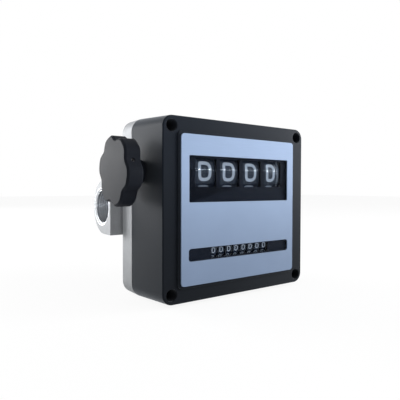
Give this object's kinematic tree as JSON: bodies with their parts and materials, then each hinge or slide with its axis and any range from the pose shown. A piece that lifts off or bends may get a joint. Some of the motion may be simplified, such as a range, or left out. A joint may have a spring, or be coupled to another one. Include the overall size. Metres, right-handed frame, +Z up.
{
  "type": "mechanical flow meter",
  "caption": "In-line mechanical flow meter: cast body with two threaded pipe ports, a nutating-disc chamber and a reset counter with totaliser behind a label plate.",
  "frame": {"origin": "middle of the body flange's bottom face, on which the meter stands", "axes": "+X along the pipe towards the outlet, to the reader's right; +Y away from the reader; +Z up"},
  "size_m": [0.1971, 0.124, 0.154],
  "materials": {
    "cast_aluminium": "bead-blasted casting with machined faces",
    "cover_plastic": "fine-grained moulded plastic",
    "knob_plastic": "smooth moulded plastic",
    "label_metal": "satin printed plate",
    "window": "clear acrylic",
    "mask_black": "printed black",
    "wheel_plastic": "moulded plastic with pale printed figures",
    "gear_plastic": "natural acetal",
    "bright_steel": "ground steel",
    "plated_steel": "zinc-plated sheet",
    "screw_steel": "black-oxide steel",
    "seal_rubber": "nitrile rubber",
    "chamber_plastic": "filled engineering plastic",
    "disc_plastic": "carbon-filled plastic",
    "brass": "turned"
  },
  "bodies": {
    "housing": {"meter_body": "cast_aluminium", "rear_cover": "cast_aluminium", "rear_cover_seal": "seal_rubber", "rear_cover_screws": "screw_steel", "inlet_strainer": "bright_steel", "chamber_front": "chamber_plastic", "chamber_rear": "chamber_plastic", "septum_plate": "bright_steel", "shaft_bush": "brass", "shaft_seal": "seal_rubber", "cross_shaft_bracket": "brass", "gear_studs": "bright_steel", "side_plate_left": "plated_steel", "side_plate_right": "plated_steel", "tie_bars": "bright_steel", "frame_screws": "screw_steel", "pinion_shaft": "bright_steel", "total_pinion_shaft": "bright_steel", "cover": "cover_plastic", "cover_gasket": "seal_rubber", "cover_screws": "screw_steel", "label_plate": "label_metal", "window_lenses": "window", "digit_masks": "mask_black", "knob_bush": "cover_plastic", "knob_seal": "seal_rubber"},
    "crank": {"drive_crank": "brass", "crank_bevel": "gear_plastic"},
    "disc": {"nutating_disc": "disc_plastic", "disc_pin": "bright_steel"},
    "cross": {"cross_shaft": "bright_steel", "cross_bevel": "gear_plastic"},
    "first_gear": {"first_reduction_gear": "gear_plastic"},
    "second_gear": {"second_reduction_gear": "gear_plastic"},
    "units": {"units_wheel": "wheel_plastic"},
    "tens": {"tens_wheel": "wheel_plastic"},
    "hundreds": {"hundreds_wheel": "wheel_plastic"},
    "thousands": {"thousands_wheel": "wheel_plastic"},
    "tens_transfer": {"tens_pinion": "gear_plastic"},
    "hundreds_transfer": {"hundreds_pinion": "gear_plastic"},
    "thousands_transfer": {"thousands_pinion": "gear_plastic"},
    "branch_gear": {"total_drive_gear": "gear_plastic"},
    "idler_gear": {"total_idler_gear": "gear_plastic"},
    "total_1": {"total_shaft": "bright_steel", "total_wheel_1": "wheel_plastic"},
    "total_2": {"total_wheel_2": "wheel_plastic"},
    "total_3": {"total_wheel_3": "wheel_plastic"},
    "total_4": {"total_wheel_4": "wheel_plastic"},
    "total_5": {"total_wheel_5": "wheel_plastic"},
    "total_6": {"total_wheel_6": "wheel_plastic"},
    "total_7": {"total_wheel_7": "wheel_plastic"},
    "total_8": {"total_wheel_8": "wheel_plastic"},
    "total_transfer": {"total_pinions": "gear_plastic"},
    "knob": {"main_shaft": "bright_steel", "reset_knob": "knob_plastic", "knob_screw": "screw_steel"}
  },
  "joints": [
    {"name": "crank_turn", "type": "hinge", "parent": "housing", "child": "crank", "pos_m": [0, 0.031, 0.077], "axis": [0, 1, 0], "continuous": true},
    {"name": "disc_nutation", "type": "hinge", "parent": "crank", "child": "disc", "pos_m": [0, 0.031, 0.077], "axis": [-0.2079, 0.9781, 0], "continuous": true},
    {"name": "cross_shaft_turn", "type": "hinge", "parent": "housing", "child": "cross", "pos_m": [0, -0.005, 0.077], "axis": [1, 0, 0], "continuous": true},
    {"name": "first_gear_turn", "type": "hinge", "parent": "housing", "child": "first_gear", "pos_m": [0, -0.01729, 0.09016], "axis": [1, 0, 0], "continuous": true},
    {"name": "second_gear_turn", "type": "hinge", "parent": "housing", "child": "second_gear", "pos_m": [0, -0.03239, 0.07471], "axis": [1, 0, 0], "continuous": true},
    {"name": "units_wheel_turn", "type": "hinge", "parent": "housing", "child": "units", "pos_m": [0, -0.02655, 0.1078], "axis": [1, 0, 0], "continuous": true},
    {"name": "tens_wheel_turn", "type": "hinge", "parent": "housing", "child": "tens", "pos_m": [0, -0.02655, 0.1078], "axis": [1, 0, 0], "continuous": true},
    {"name": "hundreds_wheel_turn", "type": "hinge", "parent": "housing", "child": "hundreds", "pos_m": [0, -0.02655, 0.1078], "axis": [1, 0, 0], "continuous": true},
    {"name": "thousands_wheel_turn", "type": "hinge", "parent": "housing", "child": "thousands", "pos_m": [0, -0.02655, 0.1078], "axis": [1, 0, 0], "continuous": true},
    {"name": "tens_pinion_turn", "type": "hinge", "parent": "housing", "child": "tens_transfer", "pos_m": [0, -0.01045, 0.13569], "axis": [1, 0, 0], "continuous": true},
    {"name": "hundreds_pinion_turn", "type": "hinge", "parent": "housing", "child": "hundreds_transfer", "pos_m": [0, -0.01045, 0.13569], "axis": [1, 0, 0], "continuous": true},
    {"name": "thousands_pinion_turn", "type": "hinge", "parent": "housing", "child": "thousands_transfer", "pos_m": [0, -0.01045, 0.13569], "axis": [1, 0, 0], "continuous": true},
    {"name": "branch_gear_turn", "type": "hinge", "parent": "housing", "child": "branch_gear", "pos_m": [0, -0.02252, 0.05283], "axis": [1, 0, 0], "continuous": true},
    {"name": "idler_gear_turn", "type": "hinge", "parent": "housing", "child": "idler_gear", "pos_m": [0, -0.03036, 0.04271], "axis": [1, 0, 0], "continuous": true},
    {"name": "total_wheel_1_turn", "type": "hinge", "parent": "housing", "child": "total_1", "pos_m": [0, -0.04555, 0.0431], "axis": [1, 0, 0], "continuous": true},
    {"name": "total_wheel_2_turn", "type": "hinge", "parent": "housing", "child": "total_2", "pos_m": [0, -0.04555, 0.0431], "axis": [1, 0, 0], "continuous": true},
    {"name": "total_wheel_3_turn", "type": "hinge", "parent": "housing", "child": "total_3", "pos_m": [0, -0.04555, 0.0431], "axis": [1, 0, 0], "continuous": true},
    {"name": "total_wheel_4_turn", "type": "hinge", "parent": "housing", "child": "total_4", "pos_m": [0, -0.04555, 0.0431], "axis": [1, 0, 0], "continuous": true},
    {"name": "total_wheel_5_turn", "type": "hinge", "parent": "housing", "child": "total_5", "pos_m": [0, -0.04555, 0.0431], "axis": [1, 0, 0], "continuous": true},
    {"name": "total_wheel_6_turn", "type": "hinge", "parent": "housing", "child": "total_6", "pos_m": [0, -0.04555, 0.0431], "axis": [1, 0, 0], "continuous": true},
    {"name": "total_wheel_7_turn", "type": "hinge", "parent": "housing", "child": "total_7", "pos_m": [0, -0.04555, 0.0431], "axis": [1, 0, 0], "continuous": true},
    {"name": "total_wheel_8_turn", "type": "hinge", "parent": "housing", "child": "total_8", "pos_m": [0, -0.04555, 0.0431], "axis": [1, 0, 0], "continuous": true},
    {"name": "total_pinion_turn", "type": "hinge", "parent": "housing", "child": "total_transfer", "pos_m": [0, -0.0396, 0.03279], "axis": [1, 0, 0], "continuous": true},
    {"name": "reset_turn", "type": "hinge", "parent": "housing", "child": "knob", "pos_m": [0, -0.02655, 0.1078], "axis": [1, 0, 0], "continuous": true}
  ],
  "couplings": [
    {"joint": "disc_nutation", "follows": "crank_turn", "ratio": -1},
    {"joint": "cross_shaft_turn", "follows": "crank_turn", "ratio": -1},
    {"joint": "first_gear_turn", "follows": "crank_turn", "ratio": 0.25},
    {"joint": "second_gear_turn", "follows": "crank_turn", "ratio": -0.05},
    {"joint": "units_wheel_turn", "follows": "crank_turn", "ratio": 0.0083333},
    {"joint": "tens_wheel_turn", "follows": "crank_turn", "ratio": 0.00083333},
    {"joint": "hundreds_wheel_turn", "follows": "crank_turn", "ratio": 0.000083333},
    {"joint": "thousands_wheel_turn", "follows": "crank_turn", "ratio": 0.0000083333},
    {"joint": "tens_pinion_turn", "follows": "crank_turn", "ratio": -0.0020833},
    {"joint": "hundreds_pinion_turn", "follows": "crank_turn", "ratio": -0.00020833},
    {"joint": "thousands_pinion_turn", "follows": "crank_turn", "ratio": -0.000020833},
    {"joint": "branch_gear_turn", "follows": "crank_turn", "ratio": 0.0125},
    {"joint": "idler_gear_turn", "follows": "crank_turn", "ratio": -0.0075},
    {"joint": "total_wheel_1_turn", "follows": "crank_turn", "ratio": 0.0083333},
    {"joint": "total_wheel_2_turn", "follows": "crank_turn", "ratio": 0.00083333},
    {"joint": "total_wheel_3_turn", "follows": "crank_turn", "ratio": 0.000083333},
    {"joint": "total_wheel_4_turn", "follows": "crank_turn", "ratio": 0.0000083333},
    {"joint": "total_wheel_5_turn", "follows": "crank_turn", "ratio": 0.00000083333},
    {"joint": "total_wheel_6_turn", "follows": "crank_turn", "ratio": 0.000000083333},
    {"joint": "total_wheel_7_turn", "follows": "crank_turn", "ratio": 0.0000000083333},
    {"joint": "total_wheel_8_turn", "follows": "crank_turn", "ratio": 0.00000000083333},
    {"joint": "total_pinion_turn", "follows": "crank_turn", "ratio": -0.0020833}
  ]
}
